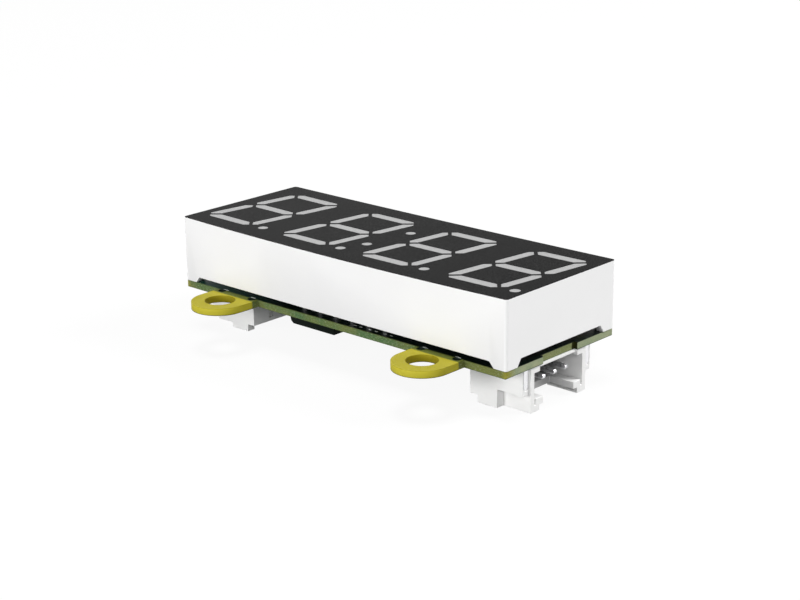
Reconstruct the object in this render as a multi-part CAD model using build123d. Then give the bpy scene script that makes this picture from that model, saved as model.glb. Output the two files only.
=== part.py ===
from build123d import *
import math
import os

# Four-digit seven-segment display module on a driver board with a socket at each end.
# Millimetres. X runs along the digits, Y towards their tops and Z up through the face.
# The origin is under the middle, on the surface that the two sockets stand on.

# Display case
display_length = 50.3
display_width = 19.0
display_height = 8.0
case_corner_radius = 0.35
case_wall = 1.0
face_sag = 0.2
wall_bulge = 0.3
foot_height = 0.7
end_gap_rise = 0.2
foot_length = 1.75
foot_depth = 1.9
foot_slope = 0.6
mask_thickness = 0.06

# Digits on the face
digit_count = 4
digit_end_margin = 6.025
digit_width = 8.18
digit_height = 14.24
digit_slant = 7.4
digit_shift_x = -0.12
level_bar_width = 1.4
upright_bar_width = 1.28
bar_tip_gap = 0.27
bar_corner_reach = 0.22
bar_recess = 0.04
funnel_draw = 0.3
dot_radius = 0.62
point_side_gap = 1.49
point_foot_rise = 0.7
colon_offset_y = 3.29

# Back of the display
substrate_thickness = 0.8
substrate_clearance = 0.1
resin_thickness = 0.3
die_size = 0.3
die_height = 0.12

# Display pins
pin_size = 0.5
pin_pitch = 2.54
pins_per_row = 6
pin_row_inset = 1.88
pin_tail = 0.75
substrate_hole_clearance = 0.05
board_hole_clearance = 0.1
solder_foot_radius = 0.8
solder_tip_clearance = 0.06
solder_height = 0.6

# Carrier board
board_thickness = 0.85
board_end_inset = 0.15
board_side_inset = 0.05
notch_width = 6.1
notch_depth = 0.45
ear_end_inset = 9.2
ear_reach = 2.95
ear_radius = 3.4
ear_hole_radius = 1.8
root_hole_radius = 0.45
root_hole_offset = 2.55
root_hole_reach = 0.2

# Side-entry sockets, given for the one that opens towards +X
socket_height = 5.25
socket_depth = 7.6
socket_setback = 0.2
socket_half_width = 4.85
socket_side_wall = 0.6
socket_roof = 0.3
roof_corner_width = 0.95
roof_corner_depth = 0.5
socket_rear_wall = 1.6
socket_floor_top = 1.45
socket_floor_bottom = 0.65
rear_lip_height = 0.9
rear_lip_depth = 1.1
rib_width = 1.5
rib_height = 0.75
rib_overlap = 0.4
rail_gap = 0.3
mouth_notch_half_width = 2.7
mouth_notch_depth = 3.3
wing_width = 1.1
wing_setback = 0.25
wing_block_length = 2.73
wing_front_height = 2.15

# Socket contacts and solder tabs
contact_size = 0.5
contact_pitch = 2.0
contact_count = 4
contact_height = 2.9
contact_setback = 1.2
contact_point = 0.12
contact_foot_reach = 1.5
contact_foot_thickness = 0.25
contact_slot_clearance = 0.075
contact_slot_depth = 0.9
contact_slot_bottom = 1.3
contact_leg_setback = 0.4
tab_thickness = 0.25
tab_width = 0.7
tab_drop = 2.45
tab_foot_length = 2.4
tab_slot_clearance = 0.1

# Driver chip
chip_width = 7.3
chip_solder_gap = 0.42
chip_height = 2.2
chip_standoff = 0.1
chip_draft = 7.0
chip_bevel = 0.3
chip_centre_x = -6.75
chip_mark_radius = 0.55
chip_mark_depth = 0.1
chip_mark_inset = 1.4
lead_pitch = 1.27
lead_width = 0.42
lead_thickness = 0.25
lead_span = 10.3
lead_foot = 0.85
lead_knee = 0.4

# Small chip components
capacitor_length = 2.0
capacitor_width = 1.25
capacitor_height = 0.9
capacitor_places = [(2.6, 2.4), (2.6, -2.4)]
resistor_length = 1.6
resistor_width = 0.8
resistor_height = 0.45
resistor_places = [(6.2, 2.4), (6.2, -2.4)]
terminal_length = 0.3

# Heights worked out from the bottom upwards
board_bottom = socket_height
board_top = board_bottom + board_thickness
display_top = board_top + display_height
skirt_edge = board_top + foot_height
substrate_bottom = skirt_edge + resin_thickness
substrate_top = substrate_bottom + substrate_thickness

# Plan sizes worked out from the driving dimensions
case_half_length = display_length / 2
case_half_width = display_width / 2
pocket_length = display_length - 2 * case_wall
pocket_width = display_width - 2 * case_wall
digit_pitch = (display_length - 2 * digit_end_margin) / (digit_count - 1)
pin_row_spacing = display_width - 2 * pin_row_inset
board_half_length = case_half_length - board_end_inset
board_half_width = case_half_width - board_side_inset
ear_spacing_x = display_length - 2 * ear_end_inset
ear_centre_y = board_half_width + ear_reach
socket_front = board_half_length - socket_setback
socket_rear = socket_front - socket_depth
wing_half_width = socket_half_width + wing_width
wing_front = socket_front - wing_setback
chip_length = pin_row_spacing - 2 * (solder_foot_radius + chip_solder_gap)
leads_per_side = int((chip_length - lead_width) / lead_pitch) + 1
point_offset_x = digit_width / 2 + point_side_gap
point_offset_y = digit_height / 2 - point_foot_rise
slant_ratio = math.tan(math.radians(digit_slant))

# Corners of a digit, at which its bars' centre lines meet, and the bars between them
corner_x = (digit_width - upright_bar_width) / 2
corner_y = (digit_height - level_bar_width) / 2
BAR_ENDS = {
    "a": ((-1, 1), (1, 1)),
    "b": ((1, 0), (1, 1)),
    "c": ((1, -1), (1, 0)),
    "d": ((-1, -1), (1, -1)),
    "e": ((-1, -1), (-1, 0)),
    "f": ((-1, 0), (-1, 1)),
    "g": ((-1, 0), (1, 0)),
}


def block(low, high):
    """A box between two opposite corners."""
    size = [top - bottom for bottom, top in zip(low, high)]
    middle = [(top + bottom) / 2 for bottom, top in zip(low, high)]
    return Pos(*middle) * Box(*size)


def side_profile(points, low_y, high_y):
    """A prism whose outline is given in X and Z, between two Y planes."""
    face = make_face(Polyline(*[(x, low_y, z) for x, z in points], close=True))
    return extrude(face, amount=high_y - low_y, dir=(0, 1, 0))


def end_profile(points, low_x, high_x):
    """A prism whose outline is given in Y and Z, between two X planes."""
    face = make_face(Polyline(*[(low_x, y, z) for y, z in points], close=True))
    return extrude(face, amount=high_x - low_x, dir=(1, 0, 0))


def slanted(x, y):
    """A point of an upright digit, leaned over with the digit."""
    return (x + y * slant_ratio, y)


def digit_centre(index):
    """X of the middle of one digit, counted from the left."""
    return digit_shift_x + (index - (digit_count - 1) / 2) * digit_pitch


def bar_outline(start, end):
    """Outline of one segment bar: 45 degree points, cut back at the digit's corners."""
    level = start[1] == end[1]
    width = level_bar_width if level else upright_bar_width
    half = width / 2
    length = 2 * corner_x if level else corner_y
    outward = (start[1] or 1) if level else start[0]

    def end_points(corner):
        reach = bar_corner_reach if corner else 0
        return [
            (bar_tip_gap + half, -half),
            (bar_tip_gap - reach, reach),
            (bar_tip_gap + half - 2 * reach, half),
        ]

    along = end_points(start[1] != 0)
    along += [(length - s, t) for s, t in reversed(end_points(end[1] != 0))]
    origin_x = start[0] * corner_x
    origin_y = start[1] * corner_y
    if level:
        return [slanted(origin_x + s, origin_y + outward * t) for s, t in along]
    return [slanted(origin_x + outward * t, origin_y + s) for s, t in along]


def funnel(outline):
    """A light funnel from the face down to the substrate, narrower at its foot."""
    depth = display_top - substrate_top
    draft = math.degrees(math.atan(funnel_draw / depth))
    return extrude(Pos(0, 0, display_top) * outline, amount=depth, dir=(0, 0, -1), taper=draft)


def air_above_face(drop):
    """Everything above the hollow of the face, lowered by drop."""
    radius = case_half_length**2 / (2 * face_sag) + face_sag / 2
    axis_height = display_top - face_sag + radius - drop
    return Pos(0, 0, axis_height) * Rot(90, 0, 0) * Cylinder(radius, 2 * display_width)


def led_die(x, y):
    """One LED die on the substrate."""
    low = (x - die_size / 2, y - die_size / 2, substrate_top)
    high = (x + die_size / 2, y + die_size / 2, substrate_top + die_height)
    return block(low, high)


def light_openings():
    """Name, funnel and die of every segment bar and dot on the face."""
    openings = []
    for index in range(digit_count):
        centre = digit_centre(index)
        place = Pos(centre, 0, 0)
        for letter, (start, end) in BAR_ENDS.items():
            outline = make_face(Polyline(*bar_outline(start, end), close=True))
            middle = slanted(corner_x * (start[0] + end[0]) / 2, corner_y * (start[1] + end[1]) / 2)
            name = f"digit_{index + 1}_segment_{letter}"
            openings.append((name, place * funnel(outline), led_die(centre + middle[0], middle[1])))
        point_x, point_y = slanted(point_offset_x, -point_offset_y)
        dot = Pos(point_x, point_y, 0) * Circle(dot_radius)
        name = f"digit_{index + 1}_point"
        openings.append((name, place * funnel(dot), led_die(centre + point_x, point_y)))
    for name, side in (("colon_upper", 1), ("colon_lower", -1)):
        colon_x, colon_y = slanted(0, side * colon_offset_y)
        colon_x += digit_shift_x
        dot = Pos(colon_x, colon_y, 0) * Circle(dot_radius)
        openings.append((name, funnel(dot), led_die(colon_x, colon_y)))
    return openings


def case_outline(bulge):
    """Plan of the case, with its two long walls bowed out by bulge."""
    def long_wall(side):
        start = (-side * case_half_length, -side * case_half_width)
        end = (side * case_half_length, -side * case_half_width)
        if bulge == 0:
            return Line(start, end)
        return ThreePointArc(start, (0, -side * (case_half_width + bulge)), end)

    near = long_wall(1)
    far = long_wall(-1)
    face = make_face([near, Line(near @ 1, far @ 0), far, Line(far @ 1, near @ 0)])
    return fillet(face.vertices(), case_corner_radius)


def case_envelope():
    """The case without its openings: straight at the board and bowed at the face."""
    foot = Pos(0, 0, board_top) * case_outline(0)
    face = Pos(0, 0, display_top) * case_outline(wall_bulge)
    return loft([foot, face], ruled=True)


def between_feet(half_span, top):
    """Outline of the gap under the skirt between two feet with sloped ends."""
    return [
        (-half_span, board_top),
        (half_span, board_top),
        (half_span - foot_slope, top),
        (foot_slope - half_span, top),
    ]


def display_case(envelope, funnels):
    """White moulded case: reflector funnels above, a pocket behind and four feet."""
    long_outline = between_feet(case_half_length - foot_length, skirt_edge)
    short_outline = between_feet(case_half_width - foot_depth, skirt_edge + end_gap_rise)
    long_gap = side_profile(long_outline, -display_width, display_width)
    short_gap = end_profile(short_outline, -display_length, display_length)
    pocket = block(
        (-pocket_length / 2, -pocket_width / 2, board_top),
        (pocket_length / 2, pocket_width / 2, substrate_top),
    )
    return envelope - air_above_face(mask_thickness) - long_gap - short_gap - pocket - funnels


def face_mask(envelope, funnels):
    """Thin black layer over the whole face, open at every bar and dot."""
    layer = (envelope - air_above_face(0)) & air_above_face(mask_thickness)
    return layer - funnels


def pin_positions():
    """X and Y of every display pin."""
    places = []
    for side in (-1, 1):
        for index in range(pins_per_row):
            x = (index - (pins_per_row - 1) / 2) * pin_pitch
            places.append((x, side * pin_row_spacing / 2))
    return places


def display_pin(x, y):
    """One square pin from the substrate to below the carrier board."""
    half = pin_size / 2
    return block((x - half, y - half, board_bottom - pin_tail), (x + half, y + half, substrate_top))


def pin_hole(x, y, clearance, bottom, top):
    """A round hole that a square pin passes through."""
    radius = pin_size / math.sqrt(2) + clearance
    return Pos(x, y, (bottom + top) / 2) * Cylinder(radius, top - bottom)


def led_substrate():
    """Inner circuit board that carries the dies."""
    half_length = pocket_length / 2 - substrate_clearance
    half_width = pocket_width / 2 - substrate_clearance
    plate = block((-half_length, -half_width, substrate_bottom), (half_length, half_width, substrate_top))
    holes = [
        pin_hole(x, y, substrate_hole_clearance, substrate_bottom, substrate_top)
        for x, y in pin_positions()
    ]
    return plate - holes


def potting_resin(pins):
    """Resin skin that closes the pocket behind the substrate."""
    low = (-pocket_length / 2, -pocket_width / 2, skirt_edge)
    high = (pocket_length / 2, pocket_width / 2, substrate_bottom)
    return block(low, high) - pins


def pin_solder(x, y):
    """Solder round one pin: a plug in the hole and a cone under the board."""
    plug = pin_hole(x, y, board_hole_clearance, board_bottom, board_top)
    tip_radius = pin_size / math.sqrt(2) + solder_tip_clearance
    cone = Cone(tip_radius, solder_foot_radius, solder_height)
    joint = plug + Pos(x, y, board_bottom - solder_height / 2) * cone
    return joint - display_pin(x, y)


def ear_positions():
    """X and side, 1 or -1 along Y, of each of the four mounting ears."""
    places = []
    for side in (-1, 1):
        for end in (-1, 1):
            places.append((end * ear_spacing_x / 2, side))
    return places


def carrier_board():
    """Driver board: end notches, four rounded ears, screw holes and pin holes."""
    outline = Rectangle(2 * board_half_length, 2 * board_half_width)
    for end in (-1, 1):
        outline -= Pos(end * board_half_length, 0) * Rectangle(2 * notch_depth, notch_width)
    for x, side in ear_positions():
        outline += Pos(x, side * ear_centre_y / 2) * Rectangle(2 * ear_radius, ear_centre_y)
        outline += Pos(x, side * ear_centre_y) * Circle(ear_radius)
    for x, side in ear_positions():
        outline -= Pos(x, side * ear_centre_y) * Circle(ear_hole_radius)
        for end in (-1, 1):
            root_y = side * (board_half_width + root_hole_reach)
            outline -= Pos(x + end * root_hole_offset, root_y) * Circle(root_hole_radius)
    plate = extrude(Pos(0, 0, board_bottom) * outline, amount=board_thickness)
    holes = [pin_hole(x, y, board_hole_clearance, board_bottom, board_top) for x, y in pin_positions()]
    return plate - holes


def contact_rows():
    """Y of each contact in a socket."""
    return [(index - (contact_count - 1) / 2) * contact_pitch for index in range(contact_count)]


def socket_contact(y):
    """Bent pin: a post in the cavity, a leg up the rear slot and a foot on the board."""
    half = contact_size / 2
    tip = socket_front - contact_setback
    leg_rear = socket_rear + contact_leg_setback
    low = contact_height - half
    high = contact_height + half
    foot_bottom = board_bottom - contact_foot_thickness
    outline = [
        (leg_rear, low),
        (tip - contact_point, low),
        (tip, low + contact_point),
        (tip, high - contact_point),
        (tip - contact_point, high),
        (leg_rear + contact_size, high),
        (leg_rear + contact_size, board_bottom),
        (socket_rear - contact_foot_reach, board_bottom),
        (socket_rear - contact_foot_reach, foot_bottom),
        (leg_rear, foot_bottom),
    ]
    return side_profile(outline, y - half, y + half)


def solder_tab(side):
    """Bent metal tab: a round-ended plate in the wing's front and a foot on the board."""
    centre_y = side * (socket_half_width + wing_width / 2)
    half = tab_width / 2
    rear = wing_front - tab_thickness
    round_z = board_bottom - tab_drop + half
    plate = block((rear, centre_y - half, round_z), (wing_front, centre_y + half, board_bottom))
    turn = Pos(rear + tab_thickness / 2, centre_y, round_z) * Rot(0, 90, 0)
    plate += turn * Cylinder(half, tab_thickness)
    foot = block(
        (rear - tab_foot_length, centre_y - half, board_bottom - tab_thickness),
        (rear, centre_y + half, board_bottom),
    )
    return plate + foot


def tab_slot(side):
    """Room in the wing for its solder tab."""
    centre_y = side * (socket_half_width + wing_width / 2)
    half = tab_width / 2 + tab_slot_clearance
    rear = wing_front - tab_thickness
    round_z = board_bottom - tab_drop + tab_width / 2
    slot = block((rear, centre_y - half, round_z), (wing_front, centre_y + half, board_bottom))
    turn = Pos(rear + tab_thickness / 2, centre_y, round_z) * Rot(0, 90, 0)
    slot += turn * Cylinder(half, tab_thickness)
    slot += block(
        (rear - tab_foot_length - tab_slot_clearance, centre_y - half, board_bottom - tab_thickness),
        (rear, centre_y + half, board_bottom),
    )
    return slot


def socket_wing(side):
    """Side wing that carries a solder tab, with a block that the module stands on."""
    block_rear = socket_rear + rear_lip_depth
    block_front = block_rear + wing_block_length
    outline = [
        (socket_rear, board_bottom),
        (socket_rear, rear_lip_height),
        (block_rear, rear_lip_height),
        (block_rear, 0),
        (block_front, 0),
        (block_front, wing_front_height),
        (wing_front, wing_front_height),
        (wing_front, board_bottom),
    ]
    edges = sorted((side * socket_half_width, side * wing_half_width))
    return side_profile(outline, *edges) - tab_slot(side)


def socket_shell():
    """White side-entry socket: cavity with a grooved floor, rear slots, ribs and wings."""
    block_rear = socket_rear + rear_lip_depth
    rib_rear = block_rear + wing_block_length - rib_overlap
    half = socket_half_width
    inner = half - socket_side_wall
    roof = board_bottom - socket_roof
    cavity_rear = socket_rear + socket_rear_wall
    shell = block((socket_rear, -half, socket_floor_bottom), (socket_front, half, board_bottom))
    shell -= block((socket_rear, -half, socket_floor_bottom), (block_rear, half, rear_lip_height))
    for side in (-1, 1):
        edges = sorted((side * (half - rib_width), side * half))
        shell += block((rib_rear, edges[0], 0), (socket_front, edges[1], rib_height))
        shell += socket_wing(side)
    cavity = [
        (-inner, socket_floor_top),
        (inner, socket_floor_top),
        (inner, roof - roof_corner_depth),
        (inner - roof_corner_width, roof - roof_corner_depth),
        (inner - roof_corner_width, roof),
        (roof_corner_width - inner, roof),
        (roof_corner_width - inner, roof - roof_corner_depth),
        (-inner, roof - roof_corner_depth),
    ]
    shell -= end_profile(cavity, cavity_rear, socket_front)
    for side in (-1, 1):
        edges = sorted((side * (inner - rail_gap), side * inner))
        shell -= block((cavity_rear, edges[0], rib_height), (socket_front, edges[1], socket_floor_top))
    shell -= block(
        (socket_front - mouth_notch_depth, -mouth_notch_half_width, 0),
        (socket_front, mouth_notch_half_width, socket_floor_top),
    )
    slot_half = contact_size / 2 + contact_slot_clearance
    for y in contact_rows():
        shell -= block(
            (socket_rear, y - slot_half, contact_slot_bottom),
            (socket_rear + contact_slot_depth, y + slot_half, board_bottom),
        )
        shell -= socket_contact(y)
    return shell


def driver_chip_body():
    """Moulded chip body: drafted sides, a bevel and a round mark near its first lead."""
    top = board_bottom - chip_standoff
    middle = top - chip_height / 2
    plan = Pos(chip_centre_x, 0, middle) * Rectangle(chip_width, chip_length)
    body = extrude(plan, amount=chip_height / 2, dir=(0, 0, 1), taper=chip_draft)
    body += extrude(plan, amount=chip_height / 2, dir=(0, 0, -1), taper=chip_draft)
    face_edges = body.faces().sort_by(Axis.Z)[0].edges().filter_by(Axis.Y)
    body = chamfer(face_edges.sort_by(Axis.X)[0], chip_bevel)
    mark_x = chip_centre_x - chip_width / 2 + chip_mark_inset
    mark_y = chip_length / 2 - chip_mark_inset
    mark_z = top - chip_height + chip_mark_depth / 2
    return body - Pos(mark_x, mark_y, mark_z) * Cylinder(chip_mark_radius, chip_mark_depth)


def chip_lead(side, y):
    """Gull-wing lead from the chip's side to the board's underside."""
    middle = board_bottom - chip_standoff - chip_height / 2
    low = middle - lead_thickness / 2
    high = middle + lead_thickness / 2
    foot_bottom = board_bottom - lead_thickness
    root = chip_width / 2
    knee = root + lead_knee
    tip = lead_span / 2
    heel = tip - lead_foot
    outline = [
        (root, low),
        (knee + lead_thickness, low),
        (heel + lead_thickness, foot_bottom),
        (tip, foot_bottom),
        (tip, board_bottom),
        (heel, board_bottom),
        (knee, high),
        (root, high),
    ]
    points = [(chip_centre_x + side * x, z) for x, z in outline]
    return side_profile(points, y - lead_width / 2, y + lead_width / 2)


def driver_chip_leads():
    """All leads along both long sides of the chip."""
    leads = []
    for side in (-1, 1):
        for index in range(leads_per_side):
            y = (index - (leads_per_side - 1) / 2) * lead_pitch
            leads.append(chip_lead(side, y))
    return leads


def chip_component(x, y, length, width, height):
    """Body and two terminals of a small two-ended component, lying along Y."""
    half = length / 2
    bottom = board_bottom - height
    inner = half - terminal_length
    body = block((x - width / 2, y - inner, bottom), (x + width / 2, y + inner, board_bottom))
    terminals = []
    for side in (-1, 1):
        edges = sorted((y + side * inner, y + side * half))
        low = (x - width / 2, edges[0], bottom)
        high = (x + width / 2, edges[1], board_bottom)
        terminals.append(block(low, high))
    return body, terminals


def module():
    """Every node of the module by name, as a list of its solids."""
    openings = light_openings()
    funnels = [shape for name, shape, die in openings]
    envelope = case_envelope()
    pins = [display_pin(x, y) for x, y in pin_positions()]
    nodes = {
        "display_case": [display_case(envelope, funnels)],
        "face_mask": [face_mask(envelope, funnels)],
    }
    recessed_air = air_above_face(bar_recess)
    for name, shape, die in openings:
        nodes[name] = [shape - recessed_air - die]
    nodes["led_dies"] = [die for name, shape, die in openings]
    nodes["led_substrate"] = [led_substrate()]
    nodes["potting_resin"] = [potting_resin(pins)]
    nodes["display_pins"] = pins
    nodes["pin_solder_joints"] = [pin_solder(x, y) for x, y in pin_positions()]
    nodes["carrier_board"] = [carrier_board()]

    turns = {"right": Rot(0, 0, 0), "left": Rot(0, 0, 180)}
    for side, turn in turns.items():
        nodes[f"{side}_socket_shell"] = [turn * socket_shell()]
        nodes[f"{side}_socket_contacts"] = [turn * socket_contact(y) for y in contact_rows()]
        nodes[f"{side}_socket_solder_tabs"] = [turn * solder_tab(end) for end in (-1, 1)]

    nodes["driver_chip_body"] = [driver_chip_body()]
    nodes["driver_chip_leads"] = driver_chip_leads()
    nodes["chip_capacitors"] = []
    nodes["chip_resistors"] = []
    nodes["component_terminals"] = []
    capacitor_size = (capacitor_length, capacitor_width, capacitor_height)
    resistor_size = (resistor_length, resistor_width, resistor_height)
    for node, places, size in (
        ("chip_capacitors", capacitor_places, capacitor_size),
        ("chip_resistors", resistor_places, resistor_size),
    ):
        for x, y in places:
            body, terminals = chip_component(x, y, *size)
            nodes[node].append(body)
            nodes["component_terminals"] += terminals
    return nodes


os.makedirs("parts", exist_ok=True)
for node_name, solids in module().items():
    shape = solids[0] if len(solids) == 1 else Compound(children=list(solids))
    export_step(shape, f"parts/{node_name}.step")
    print(node_name, round(sum(solid.volume for solid in solids), 3))
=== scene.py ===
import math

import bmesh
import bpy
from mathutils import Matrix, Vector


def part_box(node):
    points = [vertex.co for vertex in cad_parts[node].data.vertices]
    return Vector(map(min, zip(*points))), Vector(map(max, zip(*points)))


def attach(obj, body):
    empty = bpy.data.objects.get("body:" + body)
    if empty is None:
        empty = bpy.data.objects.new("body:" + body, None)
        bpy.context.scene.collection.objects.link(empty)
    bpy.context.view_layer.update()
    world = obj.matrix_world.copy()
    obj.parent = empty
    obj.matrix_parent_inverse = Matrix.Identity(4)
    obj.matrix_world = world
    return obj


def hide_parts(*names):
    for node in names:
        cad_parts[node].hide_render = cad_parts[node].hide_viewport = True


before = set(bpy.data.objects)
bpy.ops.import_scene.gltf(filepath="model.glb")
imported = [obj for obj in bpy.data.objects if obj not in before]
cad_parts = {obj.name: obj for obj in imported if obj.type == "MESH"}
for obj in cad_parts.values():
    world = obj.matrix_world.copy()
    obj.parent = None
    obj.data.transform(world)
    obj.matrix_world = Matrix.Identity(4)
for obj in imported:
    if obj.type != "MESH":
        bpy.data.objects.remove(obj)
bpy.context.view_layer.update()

# %% [markdown]
# A four-digit display module: a white moulded case with a black printed face sits on a green
# driver board, and the board stands on two white side-entry sockets. The solids come from the
# frame, in metres. This script gives them their finishes and adds what is too fine for the
# solids: softened edges, solder, pads, tracks and white print.

MM = 0.001
CASE_LOW, CASE_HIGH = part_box("display_case")
BOARD_LOW, BOARD_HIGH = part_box("carrier_board")
UNDERSIDE = BOARD_LOW.z
BOARD_TOP = BOARD_HIGH.z
print("case", [round(side / MM, 2) for side in CASE_HIGH - CASE_LOW], "mm")
print("board", [round(side / MM, 2) for side in BOARD_HIGH - BOARD_LOW], "mm")

# %% [markdown]
# The camera looks down on the front right corner through a long lens, so the edges of the case
# hardly converge. Its place is given as a direction and a distance from a point inside the
# module, which is easier to adjust than a position and three angles.

# %% Camera
VIEW_AZIMUTH = 42.476
VIEW_ELEVATION = 17.979
VIEW_ROLL = -0.592
VIEW_DISTANCE = 203.065 * MM
VIEW_TARGET = Vector((6.409, -5.363, 9.1)) * MM
FOCAL_LENGTH = 81.399
SENSOR_WIDTH = 36.0
NEAR_CLIP = 10 * MM


def direction(azimuth, elevation=0.0):
    """A unit vector away from the module, in degrees: 0 is the front, and 90 the right end."""
    turn = math.radians(azimuth)
    rise = math.radians(elevation)
    return Vector((
        math.sin(turn) * math.cos(rise), -math.cos(turn) * math.cos(rise), math.sin(rise)))


def studio_camera():
    """The photograph's viewpoint, as a camera that looks at a point of the module."""
    back = direction(VIEW_AZIMUTH, VIEW_ELEVATION)
    level_right = direction(VIEW_AZIMUTH + 90)
    level_up = back.cross(level_right)
    roll = math.radians(VIEW_ROLL)
    right = level_right * math.cos(roll) + level_up * math.sin(roll)
    up = back.cross(right)
    data = bpy.data.cameras.new("studio_camera")
    data.lens = FOCAL_LENGTH
    data.sensor_width = SENSOR_WIDTH
    data.clip_start = NEAR_CLIP
    camera = bpy.data.objects.new("studio_camera", data)
    camera.matrix_world = Matrix.Translation(VIEW_TARGET + back * VIEW_DISTANCE) @ Matrix(
        (right, up, back)).transposed().to_4x4()
    bpy.context.scene.collection.objects.link(camera)
    bpy.context.scene.camera = camera
    return camera


camera = studio_camera()
print("camera at", [round(c / MM, 1) for c in camera.location], "mm")

# %% [markdown]
# Every finish below is built from the same few parts: a noise or a band of the object's own
# coordinates, a mix of two colours, and a little relief. Small helpers for these keep each
# finish down to the lines that say what is special about it. Colours are written as they look
# on screen, from 0 to 255, and turned into the linear values that the shader wants.

# %% Colours and plain finishes
def screen(red, green, blue):
    """A colour as it looks on screen, made linear."""
    linear = []
    for value in (red, green, blue):
        share = value / 255
        linear.append(share / 12.92 if share <= 0.04045 else ((share + 0.055) / 1.055) ** 2.4)
    return (*linear, 1.0)


def grey(level):
    """A neutral grey as it looks on screen, made linear."""
    return screen(level, level, level)


def shader_of(finish):
    """The node that every finish of the module ends in."""
    return finish.node_tree.nodes["Principled BSDF"]


def new_finish(name, colour, roughness, metallic=0.0, specular=0.5):
    """A material whose shader has its plain values on its own sockets."""
    finish = bpy.data.materials.new(name)
    finish.use_nodes = True
    shader = shader_of(finish)
    shader.inputs["Base Color"].default_value = colour
    shader.inputs["Roughness"].default_value = roughness
    shader.inputs["Metallic"].default_value = metallic
    shader.inputs["Specular IOR Level"].default_value = specular
    return finish


def link(finish, source, target):
    """Joins an output of one node to an input of another."""
    finish.node_tree.links.new(source, target)


print("a screen grey of 128 sends back", round(grey(128)[0], 3), "of the light")

# %% Values that vary over a piece
def position(finish, stretch=(1.0, 1.0, 1.0)):
    """Place on the object in metres, with each axis stretched on its own."""
    nodes = finish.node_tree.nodes
    place = nodes.new("ShaderNodeTexCoord")
    mapping = nodes.new("ShaderNodeMapping")
    mapping.inputs["Scale"].default_value = stretch
    link(finish, place.outputs["Object"], mapping.inputs["Vector"])
    return mapping.outputs["Vector"]


def noise(finish, size, detail=2.0, stretch=(1.0, 1.0, 1.0)):
    """Cloudy values from 0 to 1, with spots of about the given size."""
    texture = finish.node_tree.nodes.new("ShaderNodeTexNoise")
    texture.inputs["Scale"].default_value = 1.0 / size
    texture.inputs["Detail"].default_value = detail
    link(finish, position(finish, stretch), texture.inputs["Vector"])
    return texture.outputs["Fac"]


def ramp(finish, value, start, end, low=0.0, high=1.0):
    """Turns start to end of a value into low to high, and stays level outside."""
    node = finish.node_tree.nodes.new("ShaderNodeMapRange")
    node.inputs["From Min"].default_value = start
    node.inputs["From Max"].default_value = end
    node.inputs["To Min"].default_value = low
    node.inputs["To Max"].default_value = high
    link(finish, value, node.inputs["Value"])
    return node.outputs["Result"]


def combine(finish, operation, first, second=0.0):
    """One sum of two values, either of which may be a plain number."""
    node = finish.node_tree.nodes.new("ShaderNodeMath")
    node.operation = operation
    for socket, value in zip(node.inputs, (first, second)):
        if isinstance(value, (int, float)):
            socket.default_value = value
        else:
            link(finish, value, socket)
    return node.outputs["Value"]


def axis_of(finish, axis):
    """One coordinate of the place on the object, in metres."""
    node = finish.node_tree.nodes.new("ShaderNodeSeparateXYZ")
    link(finish, position(finish), node.inputs["Vector"])
    return node.outputs[axis]


def from_middle(finish, axis):
    """Distance from the middle of the module along one axis, the same on both sides."""
    return combine(finish, "ABSOLUTE", axis_of(finish, axis))


def band(finish, value, middle, half, fade):
    """One where a value lies within half of the middle, and zero beyond the fade."""
    offset = combine(finish, "SUBTRACT", value, middle)
    return ramp(finish, combine(finish, "ABSOLUTE", offset), half, half + fade, 1.0, 0.0)


# %% Colour, roughness and relief from such values
NOISE_SPREAD = (0.3, 0.7)


def mixed(finish, share, first, second):
    """A colour between two, either of which may come from another node."""
    node = finish.node_tree.nodes.new("ShaderNodeMix")
    node.data_type = "RGBA"
    link(finish, share, node.inputs["Factor"])
    for socket, colour in ((node.inputs[6], first), (node.inputs[7], second)):
        if isinstance(colour, tuple):
            socket.default_value = colour
        else:
            link(finish, colour, socket)
    return node.outputs[2]


def paint(finish, share, first, second):
    """Colours the finish with a mix of two colours."""
    link(finish, mixed(finish, share, first, second), shader_of(finish).inputs["Base Color"])


def roughen(finish, value, start, end, limits=NOISE_SPREAD):
    """Roughness that goes from start to end as a value goes from one limit to the other."""
    link(finish, ramp(finish, value, *limits, start, end), shader_of(finish).inputs["Roughness"])


def emboss(finish, height, depth):
    """Relief of the given depth in metres, from a value between 0 and 1."""
    node = finish.node_tree.nodes.new("ShaderNodeBump")
    node.inputs["Distance"].default_value = depth
    link(finish, height, node.inputs["Height"])
    link(finish, node.outputs["Normal"], shader_of(finish).inputs["Normal"])


# %% [markdown]
# The case is injection moulded from an opaque white plastic with much titanium dioxide, so
# that each digit's light stays in its own funnel. Such a wall is almost even: what shows is a
# broad, faint clouding, and a satin sheen from the eroded finish of the mould.

# %% White moulding of the case
def case_moulding():
    """White plastic with a satin skin."""
    finish = new_finish("case_white_moulding", grey(240), 0.45, specular=0.35)
    paint(finish, noise(finish, 7 * MM, detail=3), grey(238), grey(243))
    roughen(finish, noise(finish, 0.9 * MM, detail=4), 0.5, 0.62)
    emboss(finish, noise(finish, 0.09 * MM, detail=3), 0.004 * MM)
    return finish


CASE_WHITE = case_moulding()
print("made", CASE_WHITE.name)
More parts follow.
